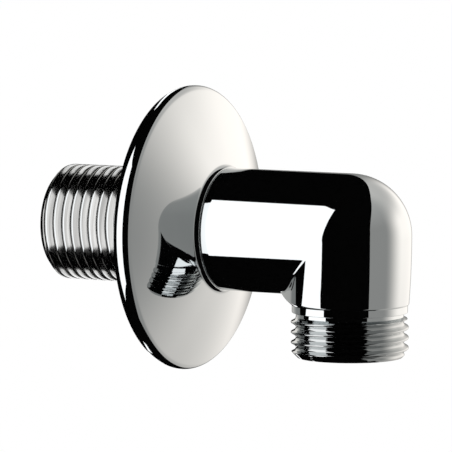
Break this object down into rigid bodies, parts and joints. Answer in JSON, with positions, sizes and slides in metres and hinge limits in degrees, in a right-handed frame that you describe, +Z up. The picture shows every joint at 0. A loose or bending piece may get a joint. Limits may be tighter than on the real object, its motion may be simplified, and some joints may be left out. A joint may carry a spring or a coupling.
{
  "type": "wall outlet elbow",
  "caption": "Chrome pipe elbow that leaves a wall through a conical rosette and turns down at a rounded corner to a threaded outlet for a shower hose.",
  "frame": {"origin": "where the inlet's axis meets the wall, in the plane of the rosette's back rim", "axes": "+X out of the wall along the inlet's axis, +Z up, so that the outlet points along -Z"},
  "size_m": [0.0692, 0.0512, 0.0512],
  "materials": {
    "elbow_chrome": "polished",
    "rosette_chrome": "polished"
  },
  "bodies": {
    "root": {"elbow_body": "elbow_chrome", "rosette": "rosette_chrome"}
  },
  "joints": []
}
